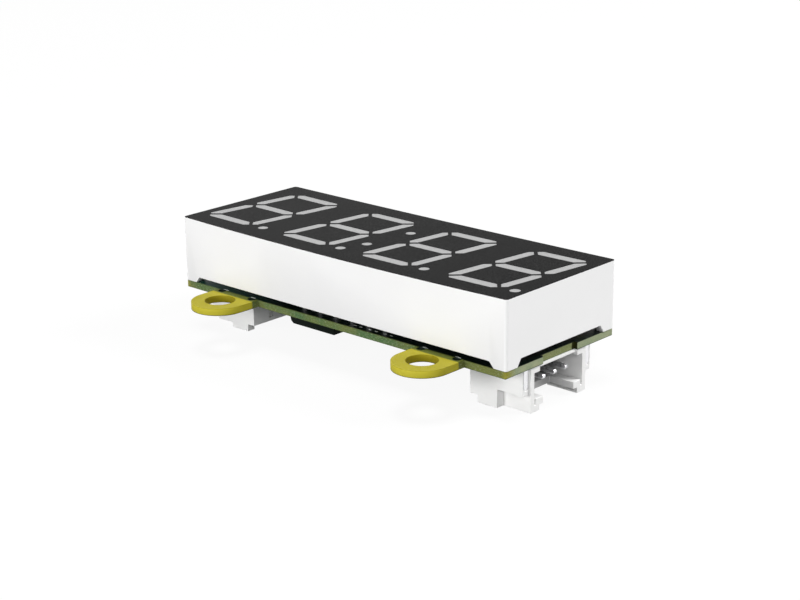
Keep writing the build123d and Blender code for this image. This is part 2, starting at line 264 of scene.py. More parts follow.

# %% [markdown]
# The face is screen printed with a matt black ink. Ink laid through a mesh keeps a fine grain,
# and at this low angle the grain is what tells the eye that the black is a coat and not a hole.
# The shine is kept low, because a glossy black would mirror the bright room behind it. The
# photograph shows the print palest at its left end, and that is painted into its colour as
# painted sheen.

# %% Black print on the face
def printed_black():
    """Matt black ink with painted sheen that makes it paler to the left, and a fine paler grain.
    """
    finish = new_finish("face_black_print", grey(30), 0.75, specular=0.05)
    patches = noise(finish, 5 * MM)
    # Painted sheen: the left end is painted paler than the right.
    left_end_painted_sheen = mixed(finish, patches, grey(26), grey(32))
    right_end = mixed(finish, patches, grey(8), grey(13))
    rightwards = ramp(finish, axis_of(finish, "X"), -20 * MM, 24 * MM)
    ink = mixed(finish, rightwards, left_end_painted_sheen, right_end)
    grain = noise(finish, 0.11 * MM)
    paint(finish, ramp(finish, grain, 0.45, 0.75), ink, grey(50))
    emboss(finish, grain, 0.01 * MM)
    return finish


FACE_BLACK = printed_black()
print("made", FACE_BLACK.name)

# %% [markdown]
# The funnels are filled with clear epoxy that holds a white diffusing powder, so an unlit
# segment is a pale milky grey. The powder settles unevenly, which gives each bar faint clouds
# and a fine grain. The surface is cast against tape and keeps a soft gloss.

# %% Milky resin of the segments
def segment_resin():
    """Grey clouds with a fine paler grain of powder in them."""
    finish = new_finish("segment_milky_resin", grey(172), 0.4, specular=0.3)
    clouds = noise(finish, 1.6 * MM, detail=3)
    body = mixed(finish, clouds, grey(126), grey(148))
    powder = ramp(finish, noise(finish, 0.1 * MM), 0.42, 0.7)
    paint(finish, powder, body, grey(160))
    roughen(finish, clouds, 0.46, 0.58)
    emboss(finish, noise(finish, 0.14 * MM), 0.008 * MM)
    return finish


SEGMENT_RESIN = segment_resin()
print("made", SEGMENT_RESIN.name)

# %% [markdown]
# The driver board is glass cloth in epoxy. Its faces carry a green solder mask, its ears are
# left bare and so show the mustard yellow of the resin, and its cut edges show the layers of
# cloth end on. One material can hold all three, because each belongs to a place: the mask to
# the outermost hundredths of a millimetre in height, the bare ears to what lies beyond the
# board's straight edge, and the cut edge to the rest. The walls of the screw holes are places
# too, and so are the small drilled holes at the roots of the ears, and both are painted dark
# as painted shade.

# %% Places on the board
EAR_REACH = 6.35 * MM
EAR_X = 15.95 * MM
EAR_RADIUS = 3.4 * MM
EAR_HOLE_RADIUS = 1.8 * MM
ROOT_HOLE_OFFSET = 2.55 * MM
ROOT_HOLE_REACH = 0.2 * MM
ROOT_HOLE_RADIUS = 0.45 * MM
NOTCH_HALF = 3.05 * MM
BOARD_EDGE = BOARD_HIGH.y - EAR_REACH
BOARD_END = BOARD_HIGH.x
BARE_FROM = BOARD_EDGE + 0.85 * MM
BOARD_MIDDLE = (UNDERSIDE + BOARD_TOP) / 2
BOARD_HALF = (BOARD_TOP - UNDERSIDE) / 2
MASK_DEPTH = 0.07 * MM
print("straight edge at", round(BOARD_EDGE / MM, 2), "mm")


def from_ear(finish):
    """Distance along X from the middle of the nearest ear."""
    offset = combine(finish, "SUBTRACT", from_middle(finish, "X"), EAR_X)
    return combine(finish, "ABSOLUTE", offset)


def within(finish, aside, inward, radius, fade):
    """One inside a circle, given the two distances from its centre, and zero beyond the fade."""
    squares = [combine(finish, "MULTIPLY", value, value) for value in (aside, inward)]
    distance = combine(finish, "SQRT", combine(finish, "ADD", *squares))
    return ramp(finish, distance, radius, radius + fade, 1.0, 0.0)


def root_hole_shade(finish, across):
    """One in and just round the small holes at the ears' roots, which are painted dark as painted
    shade.
    """
    aside = combine(finish, "SUBTRACT", from_ear(finish), ROOT_HOLE_OFFSET)
    inward = combine(finish, "SUBTRACT", across, BOARD_EDGE + ROOT_HOLE_REACH)
    return within(finish, aside, inward, ROOT_HOLE_RADIUS + 0.05 * MM, 0.09 * MM)


def ear_hole_shade(finish, across):
    """One on the wall of an ear's screw hole, which is painted darker as painted shade."""
    inward = combine(finish, "SUBTRACT", across, BOARD_HIGH.y - EAR_RADIUS)
    return within(finish, from_ear(finish), inward, EAR_HOLE_RADIUS + 0.02 * MM, 0.05 * MM)


# %% Bare resin and its glass cloth
CLOTH_PITCH = 0.36 * MM
WAVES_PER_PITCH = 3.2


def weave(finish):
    """Crossing threads of the glass cloth, as a value from 0 to 1."""
    threads = []
    for way in ("X", "Y"):
        wave = finish.node_tree.nodes.new("ShaderNodeTexWave")
        wave.bands_direction = way
        wave.inputs["Scale"].default_value = 1 / (WAVES_PER_PITCH * CLOTH_PITCH)
        wave.inputs["Distortion"].default_value = 0.6
        link(finish, position(finish), wave.inputs["Vector"])
        threads.append(wave.outputs["Fac"])
    return combine(finish, "MULTIPLY", *threads)


def bare_resin(finish):
    """Mustard yellow of the bare laminate, with its cloth showing faintly."""
    patches = noise(finish, 2.4 * MM, detail=3)
    yellow = mixed(finish, patches, screen(154, 144, 30), screen(166, 157, 43))
    thread = ramp(finish, weave(finish), 0.0, 1.0, 0.0, 0.2)
    return mixed(finish, thread, yellow, screen(174, 166, 67))


# %% Cut edges
def side_edge_shaded(finish):
    """Olive edge along the sides, darker as painted shade, and a little yellower to the right as
    painted light.
    """
    patches = ramp(finish, noise(finish, 3.2 * MM), 0.4, 0.62)
    olive = mixed(finish, patches, screen(66, 96, 56), screen(94, 104, 52))
    rightwards = ramp(finish, axis_of(finish, "X"), 12 * MM, 23 * MM)
    return mixed(finish, rightwards, olive, screen(100, 106, 50))


def end_edge_lit(finish):
    """Pale edge across the ends, paler as painted light, and yellow towards the near corners."""
    patches = ramp(finish, noise(finish, 1.9 * MM), 0.42, 0.66)
    pale = mixed(finish, patches, screen(134, 146, 116), screen(152, 158, 126))
    place = axis_of(finish, "Y")
    near_corner = ramp(finish, place, 0.3 * MM - BOARD_EDGE, 1.8 * MM - BOARD_EDGE, 1.0, 0.0)
    return mixed(finish, near_corner, pale, screen(138, 134, 42))


def cut_edge(finish, across):
    """Both kinds of edge, streaked by the cloth, with painted shade in the corners of the end
    notches.
    """
    outward = from_middle(finish, "X")
    at_end = ramp(finish, outward, BOARD_END - 0.6 * MM, BOARD_END)
    # Painted light and shade: the end faces are painted paler than the side faces, which lie in
    # the shade of the case.
    base = mixed(finish, at_end, side_edge_shaded(finish), end_edge_lit(finish))
    cloth = noise(finish, 0.22 * MM, detail=4, stretch=(0.7, 1, 3))
    streaks = ramp(finish, cloth, 0.5, 0.75, 0.0, 0.55)
    base = mixed(finish, streaks, base, screen(174, 180, 148))
    # Painted shade in the corners of the end notches.
    beside_notch = band(finish, across, NOTCH_HALF - 0.2 * MM, 0.25 * MM, 0.05 * MM)
    set_back = ramp(finish, outward, BOARD_END - 0.06 * MM, BOARD_END - 0.02 * MM, 1.0, 0.0)
    notch_corner_shade = combine(finish, "MULTIPLY", beside_notch, set_back)
    return mixed(finish, notch_corner_shade, base, screen(40, 42, 10))


# %% Laminate of the driver board
def green_mask(finish, height):
    """Green below. Above, painted shade under the case makes it nearly black, and teal to the
    left.
    """
    patches = noise(finish, 4 * MM)
    below = mixed(finish, patches, screen(6, 40, 26), screen(12, 54, 36))
    # Painted shade: the top, which lies under the case, is painted nearly black.
    top_painted_shade = mixed(finish, patches, screen(3, 11, 8), screen(6, 18, 12))
    # Towards the left end the top is painted teal, with less of the painted shade.
    leftwards = ramp(finish, axis_of(finish, "X"), -21 * MM, -9 * MM, 1.0, 0.0)
    top_painted_shade = mixed(finish, leftwards, top_painted_shade, screen(14, 62, 50))
    return mixed(finish, ramp(finish, height, 0.0, 0.1 * MM), below, top_painted_shade)


def bare_ear(finish, across, height, on_face):
    """Yellow resin, with painted shade in the screw hole and along the lower rim."""
    bare = mixed(finish, on_face, screen(186, 176, 51), bare_resin(finish))
    # Painted shade on the wall of the screw hole.
    bare = mixed(finish, ear_hole_shade(finish, across), bare, screen(138, 127, 14))
    # Painted shade along the lower rim, which faces down.
    rim = ramp(finish, height, 0.06 * MM - BOARD_HALF, 0.1 * MM - BOARD_HALF, 0.85, 0.0)
    return mixed(finish, rim, bare, screen(96, 92, 20))


def board_laminate():
    """Mask, cut edges and bare ears in one finish, each in its own place."""
    finish = new_finish("board_laminate", screen(60, 90, 50), 0.5, specular=0.15)
    across = from_middle(finish, "Y")
    height = combine(finish, "SUBTRACT", axis_of(finish, "Z"), BOARD_MIDDLE)
    skin_start = BOARD_HALF - MASK_DEPTH
    on_face = ramp(
        finish, combine(finish, "ABSOLUTE", height), skin_start, skin_start + 0.03 * MM)
    past_edge = ramp(finish, across, BOARD_EDGE - 0.1 * MM, BOARD_EDGE + 0.1 * MM)
    skin = mixed(finish, past_edge, green_mask(finish, height), screen(92, 100, 44))
    straight = mixed(finish, on_face, cut_edge(finish, across), skin)
    ear = ramp(finish, across, BARE_FROM, BARE_FROM + 0.2 * MM)
    whole = mixed(finish, ear, straight, bare_ear(finish, across, height, on_face))
    # Painted shade in and round the small holes at the ears' roots.
    paint(finish, root_hole_shade(finish, across), whole, screen(12, 26, 16))
    glossy = combine(finish, "MULTIPLY", on_face, combine(finish, "SUBTRACT", 1.0, ear))
    roughen(finish, glossy, 0.6, 0.3, limits=(0.0, 1.0))
    emboss(finish, noise(finish, 0.25 * MM, detail=3, stretch=(1, 1, 3)), 0.02 * MM)
    return finish


LAMINATE = board_laminate()
print("made", LAMINATE.name)

# %% [markdown]
# The sockets are moulded in a nylon with a little more shine than the case, and the mould
# leaves faint flow lines in it. The cavity that takes the plug is deep and narrow, and light
# that gets in is lost there. The large lamps here reach into it too easily, so the finish
# itself is painted darker from the mouth of the cavity to its rear, as painted shade.

# %% White nylon of the sockets
SOCKET_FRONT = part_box("right_socket_shell")[1].x
CAVITY_MOUTH = SOCKET_FRONT - 0.2 * MM
CAVITY_REAR = SOCKET_FRONT - 6.0 * MM
CAVITY_SIDE = 4.28 * MM
CAVITY_ROOF = UNDERSIDE - 0.27 * MM
CAVITY_FLOOR = 0.6 * MM
CAVITY_FADE = 0.05 * MM


def cavity_shade_depth(finish):
    """Zero outside the cavities and at their mouths, rising to one at their rear."""
    outward = from_middle(finish, "X")
    across = from_middle(finish, "Y")
    height = axis_of(finish, "Z")
    depth = ramp(finish, outward, CAVITY_REAR, CAVITY_MOUTH, 1.0, 0.0)
    for value, outside, inside in (
            (across, CAVITY_SIDE, CAVITY_SIDE - CAVITY_FADE),
            (outward, CAVITY_REAR - CAVITY_FADE, CAVITY_REAR),
            (height, CAVITY_ROOF, CAVITY_ROOF - CAVITY_FADE),
            (height, CAVITY_FLOOR, CAVITY_FLOOR + CAVITY_FADE)):
        depth = combine(finish, "MULTIPLY", depth, ramp(finish, value, outside, inside))
    return depth


def socket_nylon():
    """White with faint flow lines, and painted shade in dark grey at the rear of the cavities."""
    finish = new_finish("socket_white_nylon", screen(240, 240, 238), 0.5, specular=0.4)
    flow = noise(finish, 1.6 * MM, detail=3, stretch=(0.4, 1, 1.6))
    white = mixed(finish, flow, screen(234, 234, 233), screen(244, 244, 243))
    # Painted shade, growing from the mouth of each cavity to its rear.
    paint(finish, cavity_shade_depth(finish), white, screen(74, 74, 75))
    emboss(finish, noise(finish, 0.12 * MM, detail=3), 0.008 * MM)
    return finish


SOCKET_WHITE = socket_nylon()
print("made", SOCKET_WHITE.name)

# %% [markdown]
# Contacts, tabs, pins and leads are brass or copper alloy with a thin coat of tin. Tin is a
# bright grey metal that scratches along the direction in which the strip was drawn, and it
# dulls in clouds. Solder is tin too, but it froze from a melt: smoother, and with a soft crust.
# A contact's leg stands in a narrow slot at the rear of its socket, and its tin is painted dark
# there as painted shade.

# %% Tin and solder
LEG_X = SOCKET_FRONT - 7.0 * MM
FOOT_FACE = UNDERSIDE - 0.28 * MM


def tin_plate(name="tin_plate"):
    """Bright tin with dull clouds and fine scratches."""
    finish = new_finish(name, screen(214, 214, 218), 0.3, metallic=1.0)
    dull = noise(finish, 0.5 * MM, detail=4)
    paint(finish, dull, screen(226, 226, 229), screen(246, 246, 247))
    scratches = noise(finish, 0.06 * MM, stretch=(0.2, 1, 1))
    roughen(finish, scratches, 0.22, 0.42)
    emboss(finish, scratches, 0.003 * MM)
    return finish


def contact_tin():
    """The same tin, with painted shade where a contact's leg stands in its slot."""
    finish = tin_plate("contact_tin_plate")
    bright = shader_of(finish).inputs["Base Color"].links[0].from_socket
    in_slot = band(finish, from_middle(finish, "X"), LEG_X, 0.35 * MM, 0.2 * MM)
    height = axis_of(finish, "Z")
    clear_of_foot = ramp(finish, height, FOOT_FACE - 0.07 * MM, FOOT_FACE, 1.0, 0.0)
    leg_slot_shade = combine(finish, "MULTIPLY", in_slot, clear_of_foot)
    # Painted shade on the legs in their slots.
    paint(finish, leg_slot_shade, bright, screen(44, 42, 40))
    return finish


def frozen_solder():
    """Grey metal whose crust varies in colour, gloss and height together."""
    finish = new_finish("frozen_solder", screen(190, 192, 196), 0.3, metallic=1.0)
    crust = noise(finish, 0.22 * MM, detail=4)
    paint(finish, crust, screen(170, 172, 176), screen(214, 215, 218))
    roughen(finish, crust, 0.2, 0.5)
    emboss(finish, crust, 0.012 * MM)
    return finish


TIN = tin_plate()
CONTACT_TIN = contact_tin()
SOLDER = frozen_solder()
print("made", TIN.name, CONTACT_TIN.name, SOLDER.name)

# %% [markdown]
# The chip's body is epoxy filled with ground silica. It is nearly black, and the filler shows
# as a fine sparkle and a rough skin on the moulded faces. The small parts beside it are fired
# ceramic: tan for the capacitors, and white alumina under a black glaze for the resistors.

# %% Chip, capacitors and resistors
GLAZE_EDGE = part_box("chip_resistors")[0].z + 0.06 * MM


def filled_epoxy():
    """Nearly black, with the filler as sparkle and relief."""
    finish = new_finish("chip_filled_epoxy", screen(8, 14, 10), 0.65, specular=0.06)
    filler = noise(finish, 0.07 * MM, detail=3)
    sparkle = ramp(finish, filler, 0.62, 0.78)
    paint(finish, sparkle, screen(5, 13, 8), screen(24, 30, 26))
    emboss(finish, filler, 0.01 * MM)
    return finish


def fired_ceramic():
    """Tan ceramic with soft clouds."""
    finish = new_finish("capacitor_ceramic", screen(150, 116, 84), 0.5)
    clouds = noise(finish, 0.4 * MM, detail=3)
    paint(finish, clouds, screen(138, 104, 74), screen(164, 130, 98))
    emboss(finish, noise(finish, 0.1 * MM, detail=3), 0.01 * MM)
    return finish


def glazed_resistor():
    """Black glaze on the face away from the board, white alumina on the sides."""
    finish = new_finish("resistor_glaze", screen(24, 24, 26), 0.35)
    alumina = ramp(finish, axis_of(finish, "Z"), GLAZE_EDGE, GLAZE_EDGE + 0.02 * MM)
    clouds = noise(finish, 0.3 * MM, detail=3)
    glaze = mixed(finish, clouds, screen(20, 20, 22), screen(34, 34, 36))
    paint(finish, alumina, glaze, screen(222, 220, 214))
    emboss(finish, clouds, 0.008 * MM)
    return finish


CHIP_BLACK = filled_epoxy()
CERAMIC = fired_ceramic()
GLAZE = glazed_resistor()
print("made", CHIP_BLACK.name, CERAMIC.name, GLAZE.name)

# %% [markdown]
# Behind the case a thin skin of dark casting resin closes the pocket. It has a meniscus gloss
# and small bubbles. The inner board above it and the dies are out of sight, and they still get
# a finish, because the model can be taken apart.

# %% Inside of the display
def casting_resin():
    """Dark and glossy, with bubbles just under the skin."""
    finish = new_finish("potting_resin_dark", screen(34, 32, 28), 0.25)
    clouds = noise(finish, 2.5 * MM, detail=3)
    paint(finish, clouds, screen(26, 25, 22), screen(46, 42, 34))
    emboss(finish, ramp(finish, noise(finish, 0.5 * MM, detail=1), 0.62, 0.8), 0.03 * MM)
    return finish


def inner_laminate():
    """Pale green laminate with its cloth in sight."""
    finish = new_finish("inner_board_green", screen(70, 110, 70), 0.45)
    paint(finish, weave(finish), screen(60, 100, 62), screen(86, 126, 84))
    return finish


def die_crystal():
    """Small yellowish crystals, patchy from their bond."""
    finish = new_finish("led_die_crystal", screen(150, 150, 120), 0.2)
    paint(finish, noise(finish, 0.1 * MM), screen(120, 118, 90), screen(190, 186, 140))
    return finish


POTTING = casting_resin()
INNER_BOARD = inner_laminate()
DIE = die_crystal()
print("made", POTTING.name, INNER_BOARD.name, DIE.name)

# %% [markdown]
# A solid of the frame that already has the right shape keeps its mesh and only takes a finish.
# The table says which node gets which; the segments are found by their names.

# %% Finishes on the frame's own solids
FRAME_FINISHES = {
    "face_mask": FACE_BLACK,
    "potting_resin": POTTING,
    "led_substrate": INNER_BOARD,
    "led_dies": DIE,
    "display_pins": TIN,
}
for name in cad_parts:
    if name.startswith(("digit_", "colon_")):
        FRAME_FINISHES[name] = SEGMENT_RESIN
for name, finish in FRAME_FINISHES.items():
    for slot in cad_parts[name].material_slots:
        slot.material = finish
print("dressed", len(FRAME_FINISHES), "solids of the frame")

# %% [markdown]
# A solid's edges are mathematically sharp, and nothing moulded or stamped is. A softened edge
# catches a thin line of light, and at this scale that line is most of what makes plastic look
# moulded. So the visible solids are copied, their triangles merged back into whole faces, and
# their sharp edges bevelled by a few hundredths of a millimetre. Faces that lie square to an
# axis are shaded flat, because smooth shading would draw faint diagonals across large ones.

# %% Softened copies of the frame's solids
SMOOTH_ANGLE = math.radians(32)
SHARP_ANGLE = math.radians(40)
FLAT_ANGLE = math.radians(0.5)
MERGE_DISTANCE = 0.0005 * MM
SQUARE_ON = 0.999999


def finished_piece(name, shape, finish):
    """Turns a bmesh into a piece of the module that rides on its one body."""
    mesh = bpy.data.meshes.new(name)
    shape.to_mesh(mesh)
    shape.free()
    mesh.materials.append(finish)
    mesh.shade_smooth()
    mesh.set_sharp_from_angle(angle=SMOOTH_ANGLE)
    for face in mesh.polygons:
        if max(abs(part) for part in face.normal) > SQUARE_ON:
            face.use_smooth = False
    piece = bpy.data.objects.new(name, mesh)
    bpy.context.scene.collection.objects.link(piece)
    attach(piece, "root")
    return piece


def whole_faces(node):
    """A frame node's mesh with its loose triangles merged into flat faces."""
    shape = bmesh.new()
    shape.from_mesh(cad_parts[node].data)
    bmesh.ops.remove_doubles(shape, verts=shape.verts, dist=MERGE_DISTANCE)
    bmesh.ops.dissolve_limit(
        shape, angle_limit=FLAT_ANGLE, verts=shape.verts, edges=shape.edges)
    return shape


def sharp_edges(shape):
    """The edges at which two faces meet at a clear angle."""
    return [
        edge for edge in shape.edges
        if len(edge.link_faces) == 2 and edge.calc_face_angle() > SHARP_ANGLE
    ]


def soften(shape, edges, width, segments=2):
    """Rounds edges off by a bevel of the given width."""
    bmesh.ops.bevel(
        shape, geom=edges, offset=width, offset_type="OFFSET", affect="EDGES",
        segments=segments, profile=0.5, material=-1, clamp_overlap=True)


def softened_copy(node, finish, width, segments=2):
    """A piece that stands for a frame node and has its edges eased."""
    shape = whole_faces(node)
    soften(shape, sharp_edges(shape), width, segments)
    piece = finished_piece(node + "_eased", shape, finish)
    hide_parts(node)
    return piece


for side in ("right", "left"):
    socket = softened_copy(side + "_socket_shell", SOCKET_WHITE, 0.05 * MM)
    softened_copy(side + "_socket_contacts", CONTACT_TIN, 0.04 * MM)
    softened_copy(side + "_socket_solder_tabs", TIN, 0.03 * MM)
    print(socket.name, len(socket.data.polygons), "faces")
softened_copy("driver_chip_body", CHIP_BLACK, 0.08 * MM, segments=3)
softened_copy("driver_chip_leads", TIN, 0.03 * MM)
softened_copy("chip_capacitors", CERAMIC, 0.06 * MM)
softened_copy("chip_resistors", GLAZE, 0.02 * MM)
softened_copy("component_terminals", TIN, 0.05 * MM)
board = softened_copy("carrier_board", LAMINATE, 0.03 * MM)
print(board.name, len(board.data.polygons), "faces")

# %% [markdown]
# The case's own openings are filled by the segments, so only its outer walls need easing. Its
# lower rim is bevelled, and the bowed long walls keep the form that the solid gives them.

# %% Display case
SKIRT_TOP = CASE_LOW.z + 1.2 * MM
case_shape = whole_faces("display_case")
rim = [edge for edge in sharp_edges(case_shape) if max(v.co.z for v in edge.verts) < SKIRT_TOP]
soften(case_shape, rim, 0.05 * MM)
case_piece = finished_piece("display_case_eased", case_shape, CASE_WHITE)
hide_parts("display_case")
print("case", len(case_piece.data.polygons), "faces,", len(rim), "rim edges eased")

# %% [markdown]
# A pin's solder joint is a small volcano: molten tin climbs the pin and pulls itself into a
# hollow slope. Its outline is drawn once in a plane and spun round the pin.

# %% Solder cones under the display pins
def evenly(count, pitch):
    """Evenly pitched places along a line, centred on zero."""
    return [(index - (count - 1) / 2) * pitch for index in range(count)]


PIN_PLACES = evenly(6, 2.54 * MM)
PIN_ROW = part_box("display_pins")[1].y - 0.25 * MM
PIN_RADIUS = 0.36 * MM
CONE_FOOT = 0.8 * MM
CONE_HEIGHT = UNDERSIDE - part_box("pin_solder_joints")[0].z
CONE_STEPS = 24
SLOPE_POINTS = 7
FOOT_CURVE = 2
HEIGHT_CURVE = 1.4


def solder_cone(shape, x, y):
    """Spins the hollow slope of one joint round its pin."""
    outline = [shape.verts.new((x, y, UNDERSIDE - CONE_HEIGHT))]
    for index in range(SLOPE_POINTS):
        share = index / (SLOPE_POINTS - 1)
        radius = PIN_RADIUS + (CONE_FOOT - PIN_RADIUS) * share ** FOOT_CURVE
        drop = CONE_HEIGHT * (1 - share) ** HEIGHT_CURVE
        outline.append(shape.verts.new((x + radius, y, UNDERSIDE - drop)))
    edges = [shape.edges.new(pair) for pair in zip(outline, outline[1:])]
    bmesh.ops.spin(
        shape, geom=outline + edges, cent=(x, y, 0), axis=(0, 0, 1), angle=math.tau,
        steps=CONE_STEPS, use_merge=True)


cones = bmesh.new()
for side in (-1, 1):
    for x in PIN_PLACES:
        solder_cone(cones, x, side * PIN_ROW)
bmesh.ops.remove_doubles(cones, verts=cones.verts, dist=0.001 * MM)
bmesh.ops.holes_fill(cones, edges=[e for e in cones.edges if e.is_boundary], sides=CONE_STEPS)
bmesh.ops.recalc_face_normals(cones, faces=cones.faces)
cone_piece = finished_piece("pin_solder_cones", cones, SOLDER)
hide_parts("pin_solder_joints")
print("cones", len(cone_piece.data.polygons), "faces")

# %% [markdown]
# The wiring of the driver board is copper. Where the solder mask covers it, a track is a low
# green ridge; where the mask is open, the copper is a tinned pad. All of them are thin plates
# with eased edges. Four tracks run right through from socket to socket, so that modules can be
# chained; the others lead from the chip to the display pins and to vias. Towards the right end
# a field of copper with nine vias lies on each side. A board is drawn in millimetres, so the
# routes and the print below are written in them.

# %% Plates and discs on the board
COPPER = 0.03 * MM
PRINT = 0.012 * MM
COPPER_EASE = 0.008 * MM
DISC_SIDES = 20


def plate(shape, x, y, length, width, thickness, turn=0.0, level=None):
    """A plate that hangs under the board, or lies with its middle at a given level."""
    height = UNDERSIDE - thickness / 2 if level is None else level
    place = Matrix.Translation((x, y, height)) @ Matrix.Rotation(turn, 4, "Z")
    bmesh.ops.create_cube(
        shape, size=1.0, matrix=place @ Matrix.Diagonal((length, width, thickness, 1.0)))


def disc(shape, x, y, radius, thickness):
    """A round plate under the board."""
    bmesh.ops.create_cone(
        shape, cap_ends=True, segments=DISC_SIDES, radius1=radius, radius2=radius,
        depth=thickness, matrix=Matrix.Translation((x, y, UNDERSIDE - thickness / 2)))


# %% Finishes of copper under mask and of vias
def masked_copper():
    """A brighter green than the mask beside it, with a slow ripple."""
    finish = new_finish("mask_over_copper", screen(20, 78, 50), 0.3, specular=0.4)
    ripple = noise(finish, 1.2 * MM, detail=3)
    paint(finish, ripple, screen(16, 70, 44), screen(28, 92, 60))
    emboss(finish, ripple, 0.01 * MM)
    return finish


def via_dark():
    """The shaded inside of a plated hole."""
    finish = new_finish("via_hole_dark", screen(14, 26, 20), 0.6)
    paint(finish, noise(finish, 0.1 * MM), screen(10, 20, 15), screen(22, 36, 28))
    return finish


MASKED_COPPER = masked_copper()
VIA_HOLE = via_dark()
print("made", MASKED_COPPER.name, VIA_HOLE.name)

# %% Routes of the tracks, in millimetres
ROUTES = [
    # From socket to socket.
    [(-15.6, 1.0), (-13.9, 1.0), (-13.6, 1.27), (13.6, 1.27), (13.9, 1.0), (15.6, 1.0)],
    [(-15.6, 3.0), (-14.2, 3.0), (-13.74, 2.54), (13.74, 2.54), (14.2, 3.0), (15.6, 3.0)],
    # From the chip's right side to display pins.
    [(-1.6, 5.72), (0.2, 5.72), (1.27, 6.79), (1.27, 7.62)],
    [(-1.6, 4.45), (1.7, 4.45), (3.81, 6.56), (3.81, 7.62)],
    [(-1.6, 3.18), (0.2, 3.18), (0.92, 3.9), (3.7, 3.9), (6.35, 6.55), (6.35, 7.62)],
    # From its left side round to display pins.
    [(-11.9, 5.72), (-13.0, 5.72), (-13.4, 6.12), (-13.4, 8.4), (-12.9, 8.9), (-5.1, 8.9),
     (-3.81, 7.62)],
    [(-11.9, 4.45), (-13.4, 4.45), (-14.0, 5.05), (-14.0, 8.7), (-13.6, 9.15), (-2.8, 9.15),
     (-1.27, 7.62)],
    # From the chip to vias.
    [(-11.9, 3.18), (-13.1, 3.18)],
    [(-11.9, 1.9), (-13.1, 1.9)],
    [(-11.9, 0.64), (-13.1, 0.64)],
    [(-1.6, 1.9), (-0.4, 1.9)],
    [(-1.6, 0.64), (-0.4, 0.64)],
    # From a display pin and the small parts to vias and a track.
    [(-6.35, 7.62), (-8.2, 7.62)],
    [(6.2, 3.05), (8.9, 3.05)],
    [(2.6, 3.25), (2.6, 3.9)],
]
ROUTE_VIAS = [
    (-13.1, 0.64), (-13.1, 1.9), (-13.1, 3.18), (-0.4, 0.64), (-0.4, 1.9), (-8.2, 7.62),
    (8.9, 3.05),
]
FIELD_VIAS = [(x, y) for y in (4.6, 6.4, 8.2) for x in (10.6, 12.2, 13.8)]
VIAS = [(x, side * y) for side in (-1, 1) for x, y in ROUTE_VIAS + FIELD_VIAS]
print(len(ROUTES), "routes on each side and", len(VIAS), "vias")

# %% Tracks and vias
TRACK_WIDTH = 0.25 * MM
FIELD_X = 12.2 * MM
FIELD_Y = 6.35 * MM
FIELD_LENGTH = 5.2 * MM
FIELD_WIDTH = 5.0 * MM
FIELD_THICKNESS = 0.7 * COPPER
VIA_RADIUS = 0.34 * MM
VIA_THICKNESS = 1.2 * COPPER
VIA_HOLE_RADIUS = 0.15 * MM
VIA_HOLE_THICKNESS = 1.3 * COPPER


def track(shape, points):
    """Straight runs between points in millimetres, with a round joint at each point."""
    places = [Vector(point) * MM for point in points]
    for start, end in zip(places, places[1:]):
        run = end - start
        middle = (start + end) / 2
        plate(shape, *middle, run.length, TRACK_WIDTH, COPPER, turn=math.atan2(run.y, run.x))
    for place in places:
        disc(shape, *place, TRACK_WIDTH / 2, COPPER)


tracks = bmesh.new()
for side in (-1, 1):
    for route in ROUTES:
        track(tracks, [(x, side * y) for x, y in route])
    plate(tracks, FIELD_X, side * FIELD_Y, FIELD_LENGTH, FIELD_WIDTH, FIELD_THICKNESS)
for x, y in VIAS:
    disc(tracks, x * MM, y * MM, VIA_RADIUS, VIA_THICKNESS)
soften(tracks, sharp_edges(tracks), COPPER_EASE, segments=1)
track_piece = finished_piece("board_tracks", tracks, MASKED_COPPER)
holes = bmesh.new()
for x, y in VIAS:
    disc(holes, x * MM, y * MM, VIA_HOLE_RADIUS, VIA_HOLE_THICKNESS)
finished_piece("board_via_holes", holes, VIA_HOLE)
print("tracks", len(track_piece.data.polygons), "faces")

# %% [markdown]
# Pads are where metal meets the board: under each lead of the chip, each foot of a contact,
# each end of a small part and each display pin. A pad is a little larger than what stands on
# it, so that the solder has room to climb.

# %% Tinned pads
CHIP_LOW, CHIP_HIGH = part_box("driver_chip_body")
CHIP_X = (CHIP_LOW.x + CHIP_HIGH.x) / 2
LEAD_TOE = 5.15 * MM
LEAD_PLACES = evenly(10, 1.27 * MM)
CONTACT_TIP = 15.7 * MM
CONTACT_PLACES = evenly(4, 2 * MM)
# Middle of each small part, reach from it to a pad, and width, all in millimetres.
SMALL_PARTS = [(2.6, 2.4, 1.0, 1.45), (6.2, 2.4, 0.8, 1.0)]
LEAD_PAD = (1.7 * MM, 0.6 * MM)
CONTACT_PAD = (1.9 * MM, 0.95 * MM)
SMALL_PAD = 0.8 * MM
PIN_PAD = 0.98 * MM


def small_part_ends():
    """Both ends of each small part on both sides, as its values and the way to that end."""
    return [
        (x, side * y, way, reach, width)
        for side in (-1, 1) for x, y, reach, width in SMALL_PARTS for way in (-1, 1)
    ]


pads = bmesh.new()
for side in (-1, 1):
    for y in LEAD_PLACES:
        plate(pads, CHIP_X + side * (LEAD_TOE - 0.25 * MM), y, *LEAD_PAD, COPPER)
    for y in CONTACT_PLACES:
        plate(pads, side * (CONTACT_TIP + 0.55 * MM), y, *CONTACT_PAD, COPPER)
    for x in PIN_PLACES:
        disc(pads, x, side * PIN_ROW, PIN_PAD, COPPER)
for x, y, way, reach, width in small_part_ends():
    plate(pads, x * MM, (y + way * reach) * MM, width * MM, SMALL_PAD, COPPER)
soften(pads, sharp_edges(pads), COPPER_EASE, segments=1)
pad_piece = finished_piece("board_tinned_pads", pads, TIN)
print("pads", len(pad_piece.data.polygons), "faces")

# %% [markdown]
# Reflowed solder pulls itself up against the end of each foot as a small smooth mound. Each one
# is a flattened ball, cut off level with the underside of the board.

